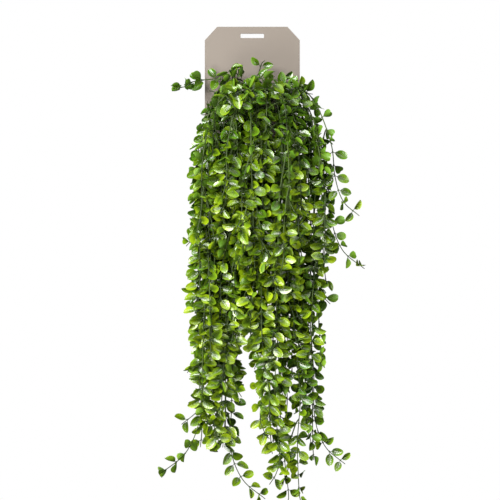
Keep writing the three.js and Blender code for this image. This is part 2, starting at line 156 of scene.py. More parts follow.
class Finish:
    """One finish: its material, and its node tree written as formulas."""

    def __init__(self, name):
        self.material = bpy.data.materials.new(name)
        self.material.use_nodes = True
        self.tree = self.material.node_tree
        self.tree.nodes.clear()

    def node(self, kind, settings, sockets, output=0):
        made = add_node(self.tree, kind, settings, sockets)
        return Wire(self.tree, made.outputs[output])

    def place(self):
        return self.node("ShaderNodeTexCoord", {}, {}, "Object")

    def axes(self, vector):
        node = add_node(self.tree, "ShaderNodeSeparateXYZ", {}, {0: vector})
        return [Wire(self.tree, socket) for socket in node.outputs]

    def noise(self, vector, scale, detail=2.0, roughness=0.5):
        sockets = {"Vector": vector, "Scale": scale, "Detail": detail, "Roughness": roughness}
        return self.node("ShaderNodeTexNoise", {}, sockets)

    def attribute(self, name):
        return self.node("ShaderNodeAttribute", {"attribute_name": name}, {}, "Fac")

    def mix(self, factor, first, second):
        """One colour fading into another: sockets 6 and 7 are the node's two colours."""
        sockets = {"Factor": factor, 6: first, 7: second}
        return self.node("ShaderNodeMix", {"data_type": "RGBA"}, sockets, 2)

    def bump(self, height, distance, strength=1.0):
        sockets = {"Height": height, "Distance": distance, "Strength": strength}
        return self.node("ShaderNodeBump", {}, sockets)

    def surface(self, sockets):
        shader = self.node("ShaderNodeBsdfPrincipled", {}, sockets)
        add_node(self.tree, "ShaderNodeOutputMaterial", {}, {"Surface": shader})
        return self.material


CARD_THICK = 2.0
PRINT = (0.114, 0.094, 0.075)
PRINT_WORN = (0.160, 0.136, 0.112)
BARE_BOARD = (0.30, 0.265, 0.225)
# Where the print begins, as shares of the way from the middle of the board to its face
PRINT_EDGE = (0.86, 0.94)
# Scales of the fibre, of the blotches in the print and of the board's pressed layers
FIBRE = 900.0
BLOTCH = 22.0
LAYERS = 9000.0
BOARD_RELIEF = 0.06 * MM


def printed_board():
    board = Finish("printed_board")
    place = board.place()
    _, y, _ = board.axes(place)
    blotch = board.noise(place, BLOTCH, 3.0)
    fibre = board.noise(place, FIBRE, 4.0, 0.6)
    # The print covers both faces, and the cut edges between them are bare
    half = 0.5 * CARD_THICK * MM
    printed = (y + half).abs().smooth(PRINT_EDGE[0] * half, PRINT_EDGE[1] * half)
    ink = board.mix(0.10 * blotch + 0.06 * fibre, PRINT, PRINT_WORN)
    # Pressed layers show at the cut edge as fine lines along it
    layers = 0.5 + 0.5 * (y * LAYERS).sine()
    core = board.mix(0.35 * layers + 0.3 * fibre, BARE_BOARD, PRINT_WORN)
    colour = board.mix(printed, core, ink)
    rough = 0.86 - 0.22 * printed + 0.08 * fibre
    relief = board.bump(fibre + 0.6 * blotch, BOARD_RELIEF, 0.5)
    return board.surface({"Base Color": colour, "Roughness": rough, "Normal": relief})


def coat(piece, finish):
    piece.data.materials.clear()
    piece.data.materials.append(finish)


coat(frame["nodes"]["header_card"], printed_board())


# Stock: one moulding in dark green plastic, a round head with a plain socket for each vine
# and a short tapered shaft below it, which the tie holds against the card.
SEAT = 0.3
HEAD_RADIUS = 14.0
HEAD = np.array([3.0, -(CARD_THICK + SEAT + HEAD_RADIUS), -90.0])
SOCKET_DEPTH = 3.5
STEM_RADIUS = 1.0
EXIT_REACH = 5.0
SHAFT_RADIUS = 6.5
SHAFT_END_RADIUS = 4.5
SHAFT_END = -152.0
TIE_HEIGHT = -112.0
TIE_WIDTH = 3.0

# The vines from the back row to the crown: each one's name, the way it leaves the head, as an
# azimuth from the viewer's side and an elevation in degrees, where it turns down and its tip,
# both in millimetres, and the number of its side sprigs
VINES = [
    ("mid_back", (-50, -16), (-22, -27, -120), (-26, -26, -350), 4),
    ("right_back", (62, -16), (62, -24, -140), (54, -22, -410), 4),
    ("left_tail", (-88, -16), (-62, -38, -150), (-46, -44, -562), 5),
    ("left_back", (-82, 8), (-52, -28, -138), (-95, -34, -527), 4),
    ("left_cross", (-54, 8), (-38, -48, -136), (17, -58, -622), 5),
    ("mid_left", (-27, 8), (-14, -54, -126), (-20, -60, -394), 4),
    ("mid_low", (0, 8), (5, -52, -122), (8, -60, -402), 4),
    ("mid_inner", (27, 8), (25, -54, -128), (4, -60, -478), 4),
    ("right_long", (54, 8), (48, -46, -142), (47, -52, -634), 5),
    ("right_wall", (82, 8), (86, -24, -176), (105, -26, -366), 3),
    ("left_wall", (-90, 30), (-74, -26, -168), (-89, -30, -288), 3),
    ("left_sweep", (-60, 30), (-58, -70, -156), (-121, -84, -585), 5),
    ("left_inner", (-30, 30), (-28, -78, -134), (-14, -92, -483), 4),
    ("mid_long", (0, 30), (8, -78, -128), (22, -88, -538), 4),
    ("right_inner", (30, 30), (38, -78, -138), (22, -92, -596), 4),
    ("right_front", (60, 30), (60, -66, -146), (66, -78, -630), 4),
    ("right_sweep", (90, 30), (76, -44, -150), (123, -52, -577), 4),
    ("left_edge", (-75, 50), (-68, -50, -158), (-86, -60, -455), 4),
    ("crown_front_left", (-35, 50), (-22, -96, -106), (-28, -104, -255), 3),
    ("mid_front", (2, 50), (-2, -98, -116), (-2, -110, -404), 5),
    ("crown_front_right", (38, 50), (42, -94, -108), (50, -104, -285), 3),
    ("right_edge", (75, 50), (90, -58, -172), (90, -66, -447), 4),
    ("right_low", (112, 50), (98, -34, -180), (149, -48, -318), 2),
    ("top_left", (-126, 70), (-80, -24, -66), (-107, -26, -75), 0),
    ("crown_left", (-54, 70), (-46, -90, -108), (-50, -98, -225), 2),
    ("crown_front", (18, 70), (18, -92, -100), (16, -104, -200), 3),
    ("right_high", (90, 70), (104, -50, -150), (141, -60, -248), 2),
    ("shoulder", (162, 70), (54, -14, -68), (82, -18, -82), 0),
    ("top_sprig", (0, 90), (10, -24, -50), (17, -28, -38), 0),
    ("top_bunch", (-112, 50), (-19, -22, -62), (-25, -28, -50), 0),
]


def exit_direction(azimuth, elevation):
    a = math.radians(azimuth)
    e = math.radians(elevation)
    return np.array([math.cos(e) * math.sin(a), -math.cos(e) * math.cos(a), math.sin(e)])


def mesh_object(name, points, faces):
    """A smooth-shaded mesh at the origin from points in millimetres."""
    mesh = bpy.data.meshes.new(name)
    mesh.from_pydata([tuple(float(c) * MM for c in p) for p in points], [], faces)
    mesh.polygons.foreach_set("use_smooth", [True] * len(mesh.polygons))
    mesh.update()
    return add_object(name, mesh)


def turned(name, profile, sides, centre, axis=(0, 0, 1)):
    """A closed turned body: profile pairs of radius and height run from pole to pole."""
    upright = Vector((0, 0, 1)).rotation_difference(Vector(axis)).to_matrix()
    points = []
    faces = []
    for radius, height in profile[1:-1]:
        for k in range(sides):
            angle = 2 * math.pi * k / sides
            points.append((radius * math.cos(angle), radius * math.sin(angle), height))
    poles = [len(points), len(points) + 1]
    points += [(0, 0, profile[0][1]), (0, 0, profile[-1][1])]
    rings = len(profile) - 2
    for k in range(sides):
        n = (k + 1) % sides
        faces.append((poles[0], n, k))
        for r in range(rings - 1):
            a = r * sides
            b = a + sides
            faces.append((a + k, a + n, b + n, b + k))
        last = (rings - 1) * sides
        faces.append((last + k, last + n, poles[1]))
    places = [upright @ Vector(p) + Vector(centre) for p in points]
    return mesh_object(name, places, faces)


def keep_result(made, name):
    """The evaluated object as a plain mesh piece; the modifiers and the first object go."""
    graph = bpy.context.evaluated_depsgraph_get()
    mesh = bpy.data.meshes.new_from_object(made.evaluated_get(graph))
    mesh.name = name
    bpy.data.objects.remove(made)
    return add_object(name, mesh)


def cut_out(made, bodies):
    """Adds a cut for each of the bodies, which stay until the result is kept."""
    for body in bodies:
        cut = made.modifiers.new("cut", "BOOLEAN")
        cut.operation = "DIFFERENCE"
        cut.solver = "EXACT"
        cut.object = body


def seat_piece(piece, node):
    """Says that the piece rides on the one body, in place of its CAD node."""
    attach(piece, "root")
    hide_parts(node)


# From the shaft's end up, out through a small fillet at the neck, and over the head
NECK_FILLET = 1.2
STOCK_SIDES = 48
STOCK_CRISP = 40
HEAD_RINGS = 22
BORE_SIDES = 14
taper_top = TIE_HEIGHT - 3 * TIE_WIDTH
shaft_top = HEAD[2] - math.sqrt(HEAD_RADIUS**2 - (SHAFT_RADIUS + NECK_FILLET) ** 2)
stock_profile = [
    (0, SHAFT_END),
    (0.55 * SHAFT_END_RADIUS, SHAFT_END),
    (0.86 * SHAFT_END_RADIUS, SHAFT_END + 0.5),
    (SHAFT_END_RADIUS, SHAFT_END + 2.0),
    (SHAFT_RADIUS - 0.15, taper_top - 1),
    (SHAFT_RADIUS, taper_top + 1),
    (SHAFT_RADIUS, shaft_top - 2),
    (SHAFT_RADIUS + 0.25, shaft_top - 0.9),
    (SHAFT_RADIUS + NECK_FILLET, shaft_top),
]
start = math.acos((SHAFT_RADIUS + NECK_FILLET) / HEAD_RADIUS)
for ring in range(1, HEAD_RINGS):
    angle = -start + (start + math.pi / 2) * ring / HEAD_RINGS
    height = HEAD[2] + HEAD_RADIUS * math.sin(angle)
    stock_profile.append((HEAD_RADIUS * math.cos(angle), height))
stock_profile.append((0, HEAD[2] + HEAD_RADIUS))
stock_body = turned("stock_body", stock_profile, STOCK_SIDES, (HEAD[0], HEAD[1], 0))

# A plain socket for each vine, from outside the head to just past the end of the vine in it
bore_radius = STEM_RADIUS + SEAT
bore_length = SOCKET_DEPTH + SEAT + EXIT_REACH
bore_profile = [(0, 0), (bore_radius, 0), (bore_radius, bore_length), (0, bore_length)]
bores = []
for _, exit_way, _, _, _ in VINES:
    direction = exit_direction(*exit_way)
    floor_at = HEAD + (HEAD_RADIUS - SOCKET_DEPTH - SEAT) * direction
    bores.append(turned("bore", bore_profile, BORE_SIDES, floor_at, direction))
cut_out(stock_body, bores)
stem_stock = keep_result(stock_body, "moulded_stock")
for bore in bores:
    bpy.data.objects.remove(bore)
stem_stock.data.set_sharp_from_angle(angle=math.radians(STOCK_CRISP))

STOCK_GREEN = (0.030, 0.052, 0.012)
STOCK_PALE = (0.060, 0.090, 0.025)
STOCK_CLOUD = 140.0
STOCK_GRAIN = 2600.0
STOCK_RELIEF = 0.08 * MM
# Half the seam's width, at its crest and at its foot
SEAM_HALF = (0.08 * MM, 0.3 * MM)


def moulded_plastic():
    plastic = Finish("moulded_plastic")
    place = plastic.place()
    _, y, _ = plastic.axes(place)
    cloud = plastic.noise(place, STOCK_CLOUD, 3.0)
    grain = plastic.noise(place, STOCK_GRAIN)
    # The two halves of the mould meet in the plane of the card, and leave a faint seam there
    seam = 1 - (y - float(HEAD[1]) * MM).abs().smooth(*SEAM_HALF)
    colour = plastic.mix(cloud * 0.8 + seam * 0.2, STOCK_GREEN, STOCK_PALE)
    relief = plastic.bump(grain * 0.25 + seam, STOCK_RELIEF)
    rough = 0.42 + 0.16 * cloud
    return plastic.surface({"Base Color": colour, "Roughness": rough, "Normal": relief})


coat(stem_stock, moulded_plastic())
seat_piece(stem_stock, "stem_stock")


# Cable tie: black nylon, its strap laid flat in a channel in the card's back, passed through
# two slits and drawn tight round the stock, with its lock at the front and its tail cut off.
TIE_THICK = 0.7
TIE_SINK = 0.2
TIE_INSIDE = SHAFT_RADIUS + SEAT
TIE_EDGE = 0.18
TIE_CORNER = 0.5
CORNER_STEPS = 4
TOOTH_STEP = 0.9
TOOTH_PARTS = 4
TOOTH_DEEP = 0.14
STRAP_CRISP = 35
LOCK_SIZE = (5.0, 4.0, 5.4)
LOCK_WINDOW = (2.6, 3.0)
# The window's floor, ahead of the lock's middle by this share of half its depth
LOCK_FLOOR = 0.2
LOCK_EDGE = 0.35
LOCK_EDGE_STEPS = 3
LOCK_CRISP = 50


def band_path():
    """The strap's middle line from above: each step's place, outward way, and if it is a gap
    between two teeth."""
    middle = TIE_INSIDE + TIE_THICK / 2
    back = -TIE_SINK - TIE_THICK / 2
    steps = []
    arc = round(math.pi * middle / TOOTH_STEP) * TOOTH_PARTS
    for k in range(arc + 1):
        angle = math.pi + math.pi * k / arc
        out = (math.cos(angle), math.sin(angle))
        gap = k % TOOTH_PARTS in (1, 2)
        steps.append((middle * out[0], HEAD[1] + middle * out[1], out, gap))
    for side, first in ((1, 0.0), (-1, 90.0)):
        for k in range(CORNER_STEPS + 1):
            angle = math.radians(first + 90 * k / CORNER_STEPS)
            out = (math.cos(angle), math.sin(angle))
            x = side * (middle - TIE_CORNER) + TIE_CORNER * out[0]
            y = back - TIE_CORNER + TIE_CORNER * out[1]
            steps.append((x, y, out, False))
    return steps


def strap():
    """The strap as a closed loop with soft edges, ribbed on its inner face round the stock."""
    path = band_path()
    half = TIE_WIDTH / 2
    flat = half - TIE_EDGE
    points = []
    faces = []
    for x, y, out, gap in path:
        outer = TIE_THICK / 2
        inner = -TIE_THICK / 2 + (TOOTH_DEEP if gap else 0)
        section = [
            (outer, flat), (outer - TIE_EDGE, half), (inner + TIE_EDGE, half), (inner, flat),
            (inner, -flat), (inner + TIE_EDGE, -half), (outer - TIE_EDGE, -half), (outer, -flat),
        ]
        for away, up in section:
            points.append((HEAD[0] + x + away * out[0], y + away * out[1], TIE_HEIGHT + up))
    ring = len(section)
    for k in range(len(path)):
        a = k * ring
        b = (k + 1) % len(path) * ring
        for c in range(ring):
            d = (c + 1) % ring
            faces.append((a + c, a + d, b + d, b + c))
    made = mesh_object("strap", points, faces)
    made.data.set_sharp_from_angle(angle=math.radians(STRAP_CRISP))
    return made


def blank(name, middle, xs, ys, zs):
    """A plain block, to be cut and have its edges softened, or to cut with."""
    corners = [(x, y, z) for x in xs for y in ys for z in zs]
    points = [tuple(m + c for m, c in zip(middle, corner)) for corner in corners]
    sides = [(0, 1, 3, 2), (4, 6, 7, 5), (0, 4, 5, 1), (2, 3, 7, 6), (0, 2, 6, 4), (1, 5, 7, 3)]
    return mesh_object(name, points, sides)


def lock_box():
    """The lock: a soft-edged block with a window for the strap's end."""
    w, d, h = (size / 2 for size in LOCK_SIZE)
    ww, wh = (size / 2 for size in LOCK_WINDOW)
    middle = (HEAD[0], HEAD[1] - TIE_INSIDE - TIE_THICK / 2 - d, TIE_HEIGHT)
    block = blank("lock", middle, (-w, w), (-d, d), (-h, h))
    window = blank("window", middle, (-ww, ww), (-2 * d, -LOCK_FLOOR * d), (-wh, wh))
    cut_out(block, [window])
    bevel = block.modifiers.new("edges", "BEVEL")
    bevel.width = LOCK_EDGE * MM
    bevel.segments = LOCK_EDGE_STEPS
    made = keep_result(block, "lock")
    bpy.data.objects.remove(window)
    made.data.set_sharp_from_angle(angle=math.radians(LOCK_CRISP))
    return made


def joined(name, parts):
    """Several bodies as one piece."""
    with bpy.context.temp_override(active_object=parts[0], selected_editable_objects=parts):
        bpy.ops.object.join()
    parts[0].name = name
    parts[0].data.name = name
    return parts[0]


NYLON_BLACK = (0.010, 0.011, 0.010)
NYLON_GREY = (0.026, 0.028, 0.025)
NYLON_CLOUD = 400.0
NYLON_GRAIN = 5200.0
NYLON_RELIEF = 0.02 * MM


def black_nylon():
    nylon = Finish("black_nylon")
    place = nylon.place()
    cloud = nylon.noise(place, NYLON_CLOUD, 3.0)
    grain = nylon.noise(place, NYLON_GRAIN)
    colour = nylon.mix(cloud, NYLON_BLACK, NYLON_GREY)
    relief = nylon.bump(grain, NYLON_RELIEF)
    rough = 0.34 + 0.18 * cloud
    return nylon.surface({"Base Color": colour, "Roughness": rough, "Normal": relief})


card_tie = joined("nylon_tie", [strap(), lock_box()])
coat(card_tie, black_nylon())
seat_piece(card_tie, "card_tie")


# Vine stems: green plastic over fine wire, thinner to the tip, with a small collar where each
# pair of leaves is pushed on. Each vine arches out of its socket, hangs and flicks out at its
# tip, and its side sprigs are moulded into it. Every draw is seeded, in the part's own order.
ARCH_LIFT = 45.0
ARCH_POINTS = (0.4, 0.75)
HANG_SPAN = 60.0
WANDER_ACROSS = (-7.0, 7.0)
WANDER_DEEP = (-4.0, 4.0)
SWEEP_LEAST = 14.0
SWEEP_SHARE = 0.6
BEND_SIDE = 0.15
KNEE_SIDE = 0.3
KNEE_RISE = 0.25
SPRIG_FIRST = 0.09
SPRIG_SPREAD = 0.62
SPRIG_PLACE = (0.2, 0.8)
SPRIG_REACH = (11.0, 22.0)
SPRIG_DROP = (60.0, 170.0)
SPRIG_TURNS = 8
SPRIG_LEAD = 9.0
SPRIG_RISE = 12.0
SPRIG_FLICK = 9.0
LINE_STEPS = 10
SAMPLE_STEP = 5.0
STEM_CLEAR = 5.0
OWN_STEM_SAMPLES = 6
# Sprigs stay inside this space, and out of the gaps between the long tails
CURTAIN = {"left": -76, "right": 100, "front": -118, "back": -16, "top": -100, "bottom": -628}
TAIL_GAPS = [
    {"left": -19, "right": -1, "top": -405},
    {"left": -30, "right": 20, "top": -490},
    {"left": -90, "right": -30, "top": -560},
]
FULL_TURN = (0, 360)
SPRIG_SEED = 11
DRAW_FACTOR = 1664525
DRAW_STEP = 1013904223
DRAW_RANGE = 2**32
draws = {"state": SPRIG_SEED}


def draw(limits):
    """The next of the seeded draws between two limits."""
    draws["state"] = (draws["state"] * DRAW_FACTOR + DRAW_STEP) % DRAW_RANGE
    low, high = limits
    return low + (high - low) * draws["state"] / DRAW_RANGE


def unit(v):
    return v / math.sqrt(v @ v)


def smooth_line(way):
    """Points along the smooth curve, a Catmull-Rom spline, through the way points."""
    p = [2 * way[0] - way[1], *way, 2 * way[-1] - way[-2]]
    line = []
    for i in range(1, len(p) - 2):
        a, b, c, d = p[i - 1 : i + 3]
        for k in range(LINE_STEPS):
            t = k / LINE_STEPS
            first = 0.5 * t * (c - a)
            second = t * t * (a - 2.5 * b + 2 * c - 0.5 * d)
            third = t**3 * (-0.5 * a + 1.5 * b - 1.5 * c + 0.5 * d)
            line.append(b + first + second + third)
    line.append(way[-1])
    return np.array(line)


class Strand:
    """One strand of vine: its smooth line, measured along its run."""

    def __init__(self, vine, way, parent=None):
        self.vine = vine
        self.parent = parent
        self.line = smooth_line(way)
        steps = np.linalg.norm(self.line[1:] - self.line[:-1], axis=1)
        self.run = np.concatenate([[0], np.cumsum(steps)])
        self.length = self.run[-1]
        self.samples = np.array([self.at(s) for s in np.arange(0, self.length, SAMPLE_STEP)])

    def at(self, s):
        return np.array([np.interp(s, self.run, self.line[:, axis]) for axis in range(3)])

    def heading(self, s):
        return unit(self.at(min(s + 2, self.length)) - self.at(max(s - 2, 0)))


def vine_way(exit_way, hang_at, tip_at):
    """Way points: out of the socket, over an arch, down with a slight wander, then the flick."""
    hang = np.array(hang_at, float)
    tip = np.array(tip_at, float)
    direction = exit_direction(*exit_way)
    out = HEAD + (HEAD_RADIUS + EXIT_REACH) * direction
    way = [HEAD + (HEAD_RADIUS - SOCKET_DEPTH) * direction, out]
    lift = ARCH_LIFT * max(0, direction[2]) ** 2
    for u in ARCH_POINTS:
        point = (1 - u) * out + u * hang
        fallen = (out[2] - hang[2]) * (1 - math.sqrt(1 - u * u))
        point[2] = out[2] - fallen + lift * u * (1 - u)
        way.append(point)
    way.append(hang)
    side = np.array([tip[0] - hang[0], tip[1] - hang[1], 0])
    sweep = min(SWEEP_SHARE * (hang[2] - tip[2]), SWEEP_LEAST + math.sqrt(side @ side))
    bend = hang + BEND_SIDE * side
    bend[2] = tip[2] + sweep
    spans = max(1, math.floor((hang[2] - bend[2]) / HANG_SPAN + 0.5))
    for k in range(1, spans + 1):
        point = hang + (bend - hang) * (k / spans)
        if k < spans:
            point[0] += draw(WANDER_ACROSS)
            point[1] += draw(WANDER_DEEP)
        way.append(point)
    # The knee is rounded off between the bend and the tip
    knee = hang + KNEE_SIDE * side
    knee[2] = tip[2] + KNEE_RISE * sweep
    return [*way, 0.25 * bend + 0.5 * knee + 0.25 * tip, tip]


def sprig_way(main, s, turn, reach, drop):
    """Way points: up along the vine, out to one side, down, and out again at the tip."""
    start = main.at(s)
    on = main.heading(s)
    out = np.array([math.cos(turn), math.sin(turn), 0])
    down = np.array([0, 0, -1.0])
    risen = start + SPRIG_RISE * on
    return [
        start,
        start + SPRIG_LEAD * on + 0.35 * reach * out,
        risen + 0.35 * drop * down + reach * out,
        risen + 0.75 * drop * down + 1.1 * reach * out,
        risen + drop * down + (1.1 * reach + SPRIG_FLICK) * out,
    ]


def inside_curtain(strand):
    """Whether the whole strand is inside the curtain and out of the gaps."""
    x, y, z = strand.line.T
    outside = (x < CURTAIN["left"]) | (x > CURTAIN["right"])
    outside |= (y < CURTAIN["front"]) | (y > CURTAIN["back"]) | (z > CURTAIN["top"])
    for gap in TAIL_GAPS:
        outside |= (z < gap["top"]) & (x > gap["left"]) & (x < gap["right"])
    return not outside.any()


def is_clear(sprig, clear):
    """Clear of the other vines from its root on, and of its own once it has left it."""
    for other in strands:
        first = OWN_STEM_SAMPLES if other.vine == sprig.vine else 1
        between = sprig.samples[first:, None] - other.samples[None]
        if ((between**2).sum(2) <= clear**2).any():
            return False
    return True


def grow_sprig(main, root, reach, drop, turn, clear, allowed):
    """Adds a sprig at the first of eight turns where it has room, or leaves it out."""
    for trial in range(SPRIG_TURNS):
        angle = math.radians(turn + 360 * trial / SPRIG_TURNS)
        way = sprig_way(main, root, angle, reach, drop)
        sprig = Strand(main.vine, way, main)
        if way[-1][2] >= CURTAIN["bottom"] and allowed(sprig) and is_clear(sprig, clear):
            strands.append(sprig)
            break


vines = [Strand(row[0], vine_way(*row[1:4])) for row in VINES]
strands = list(vines)
for main, row in zip(vines, VINES):
    count = row[4]
    for k in range(count):
        root = main.length * (SPRIG_FIRST + SPRIG_SPREAD * (k + draw(SPRIG_PLACE)) / count)
        reach = draw(SPRIG_REACH)
        drop = draw(SPRIG_DROP)
        grow_sprig(main, root, reach, drop, draw(FULL_TURN), STEM_CLEAR, inside_curtain)

# The leaf pairs of a strand from its tip to its root. Their upper faces turn out from the
# bush and to the front, each pair is turned a little from the last, and they lean to the tip
PAIR_STEP = 17.0
BARE_TIP = (8.0, 12.0)
VINE_FIRST_PAIR = (24.0, 34.0)
SPRIG_FIRST_PAIR = (12.0, 20.0)
PAIR_STRETCH = (0.85, 1.15)
PAIR_PHASE = (-70.0, 70.0)
PAIR_RATE = (-30.0, 30.0)
PAIR_TURN = (-30.0, 30.0)
PHASE_LIMIT = 75.0
LEAF_LEAN = (0.0, 46.0)
LEAF_ROLL = (-55.0, 55.0)
LEAF_SIZE = (0.84, 1.12)
BUSH_MIDDLE = np.array([3.0, -50.0])
FACING = np.array([0, -0.9, 0.35])
OUTWARD = 0.7


def leaf_pairs(strand):
    pairs = []
    first = draw(SPRIG_FIRST_PAIR if strand.parent else VINE_FIRST_PAIR)
    phase = draw(PAIR_PHASE)
    rate = draw(PAIR_RATE)
    s = strand.length - draw(BARE_TIP)
    while s > first:
        seat = strand.at(s)
        along = strand.heading(s)
        radial = seat[:2] - BUSH_MIDDLE
        radial = radial / max(1.0, math.sqrt(radial @ radial))
        facing = FACING + OUTWARD * np.array([*radial, 0])
        facing = unit(facing - (facing @ along) * along)
        beside = np.cross(along, facing)
        turn = math.radians(phase + draw(PAIR_TURN))
        face = math.cos(turn) * facing + math.sin(turn) * beside
        side = math.cos(turn) * beside - math.sin(turn) * facing
        lean = math.radians(draw(LEAF_LEAN))
        size = draw(LEAF_SIZE)
        leaves = []
        for sign in (1, -1):
            axis = sign * math.cos(lean) * side + math.sin(lean) * along
            across = np.cross(face, axis)
            roll = math.radians(draw(LEAF_ROLL))
            rolled = math.cos(roll) * across + math.sin(roll) * face
            up = math.cos(roll) * face - math.sin(roll) * across
            leaves.append((axis, rolled, up))
        pairs.append({"s": s, "seat": seat, "size": size, "leaves": leaves})
        phase += rate
        if abs(phase) > PHASE_LIMIT:
            rate = -rate
        s -= PAIR_STEP * draw(PAIR_STRETCH)
    return pairs


for strand in strands:
    strand.pairs = leaf_pairs(strand)

# Finer shoots fill the bush between the sprigs, except at its thin right side below the crown
SHOOT_SEED = 5
SHOOT_SPACING = 62.0
SHOOT_SPAN = (0.12, 0.9)
SHOOT_REACH = (5.0, 18.0)
SHOOT_DROP = (38.0, 120.0)
SHOOT_CLEAR = 3.0
THIN_SIDE = {"top": -240, "left": 72}


def in_dense_part(shoot):
    x, _, z = shoot.line.T
    on_thin_side = (z < THIN_SIDE["top"]) & (x > THIN_SIDE["left"])
    return inside_curtain(shoot) and not on_thin_side.any()


draws["state"] = SHOOT_SEED
first_shoot = len(strands)
for main in vines:
    for _ in range(int(main.length / SHOOT_SPACING)):
        root = main.length * draw(SHOOT_SPAN)
        reach = draw(SHOOT_REACH)
        drop = draw(SHOOT_DROP)
        grow_sprig(main, root, reach, drop, draw(FULL_TURN), SHOOT_CLEAR, in_dense_part)

# Short shoots stand round the crown, and higher on the vines at its top than on the others
CROWN_SHOOTS = 6
CROWN_RUN = (12.0, 130.0)
CROWN_LENGTH = (24.0, 50.0)
CROWN_RISE = (-35.0, 50.0)
CROWN_TOP = -76.0
BUNCH_TOP = -50.0
CROWN_BACK = -10.0
CROWN_SIDES = (-60.0, 82.0)
CROWN_SAG = 0.22
for main in vines:
    for _ in range(CROWN_SHOOTS):
        root = main.at(draw(CROWN_RUN))
        azimuth = draw(FULL_TURN)
        rise = draw(CROWN_RISE)
        reach = draw(CROWN_LENGTH)
        away = exit_direction(azimuth, rise)
        sag = np.array([0, 0, -CROWN_SAG * reach])
        way = [root, root + 0.35 * reach * away, root + 0.7 * reach * away + 0.3 * sag]
        way.append(root + reach * away + sag)
        shoot = Strand(main.vine, way, main)
        top = BUNCH_TOP if main.vine.startswith("top_") else CROWN_TOP
        x, y, z = shoot.line.T
        within = CROWN_SIDES[0] < x.min() and x.max() < CROWN_SIDES[1]
        if within and z.max() < top and y.max() < CROWN_BACK:
            strands.append(shoot)

for strand in strands[first_shoot:]:
    strand.pairs = leaf_pairs(strand)

# The vine that reaches out beside the card carries twice the leaves
for main in vines:
    if main.vine == "top_left":
        main.pairs += leaf_pairs(main)

# Radii of a vine's root, of a sprig's root, of the even taper's thin end and of the bare tip
STEM_ROOT = 0.85
SPRIG_ROOT = 0.9
STEM_THIN = 0.589
STEM_TIP = 0.5
TAPER = 1.3
BARE_END = 12.0
BARE_TAPER = 0.7
# A collar's reach to each side of its leaves, and how far it swells at shares of that reach
COLLAR_REACH = 1.5
COLLAR_SHAPE = ((-1, 1.0), (-0.55, 1.42), (0.45, 1.42), (1, 1.0))
INSIDE_COLLAR = COLLAR_REACH - 0.01
LEAST_STEP = 0.2


def stem_radius(strand, s):
    """Radius of the stem at a distance along it: an even taper, then a fine bare end."""
    share = s / strand.length
    root = SPRIG_ROOT if strand.parent else STEM_ROOT
    even = root + (STEM_THIN - root) * share**TAPER
    ending = min(1.0, (strand.length - s) / BARE_END)
    return STEM_TIP + (even - STEM_TIP) * ending**BARE_TAPER


def stem_stations(strand):
    """Places along a strand with the radius there, closer together at each collar."""
    stations = {float(s): 1.0 for s in strand.run}
    for pair in strand.pairs:
        for offset, swell in COLLAR_SHAPE:
            stations[pair["s"] + offset * COLLAR_REACH] = swell
    kept = []
    for s in sorted(stations):
        in_collar = any(abs(s - pair["s"]) < INSIDE_COLLAR for pair in strand.pairs)
        if stations[s] == 1.0 and in_collar:
            continue
        if kept and s - kept[-1][0] < LEAST_STEP:
            continue
        kept.append((s, stem_radius(strand, s) * stations[s]))
    return kept


def build_stem_tree():
    """Geometry Nodes: edges with a thickness become round stems with closed ends."""
    tree = bpy.data.node_groups.new("stems_along_strands", "GeometryNodeTree")
    panel = tree.interface
    panel.new_socket("Strands", in_out="INPUT", socket_type="NodeSocketGeometry")
    sides = panel.new_socket("Sides", in_out="INPUT", socket_type="NodeSocketInt")
    finish = panel.new_socket("Finish", in_out="INPUT", socket_type="NodeSocketMaterial")
    panel.new_socket("Stems", in_out="OUTPUT", socket_type="NodeSocketGeometry")
    given = add_node(tree, "NodeGroupInput", {}, {})
    curve = add_node(tree, "GeometryNodeMeshToCurve", {}, {"Mesh": given.outputs["Strands"]})
    thick = add_node(
        tree, "GeometryNodeInputNamedAttribute", {"data_type": "FLOAT"}, {"Name": "thick"}
    )
    ring = add_node(
        tree, "GeometryNodeCurvePrimitiveCircle", {},
        {"Resolution": given.outputs["Sides"], "Radius": 1.0},
    )
    stem = add_node(
        tree, "GeometryNodeCurveToMesh", {},
        {
            "Curve": curve.outputs[0], "Profile Curve": ring.outputs[0],
            "Scale": thick.outputs[0], "Fill Caps": True,
        },
    )
    real = add_node(tree, "GeometryNodeRealizeInstances", {}, {"Geometry": stem.outputs[0]})
    soft = add_node(tree, "GeometryNodeSetShadeSmooth", {}, {"Geometry": real.outputs[0]})
    coated = add_node(
        tree, "GeometryNodeSetMaterial", {},
        {"Geometry": soft.outputs[0], "Material": given.outputs["Finish"]},
    )
    add_node(tree, "NodeGroupOutput", {}, {0: coated.outputs[0]})
    return tree, {"Sides": sides.identifier, "Finish": finish.identifier}


def grown(source, tree, sockets, values, name):
    """Runs a node tree over an object and keeps what it makes as a plain mesh."""
    modifier = source.modifiers.new("grow", "NODES")
    modifier.node_group = tree
    for socket, value in values.items():
        modifier[sockets[socket]] = value
    return keep_result(source, name)


STEM_DARK = (0.010, 0.020, 0.003)
STEM_PALE = (0.060, 0.095, 0.016)
STEM_CLOUD = 38.0
STEM_GRAIN = 900.0
STEM_RELIEF = 0.06 * MM
# Clouds and grain are drawn out along the hanging stems by this scale
STEM_STREAK = 0.35
# Over this length before its tip a stem turns darker
FRESH_RUN = 90.0


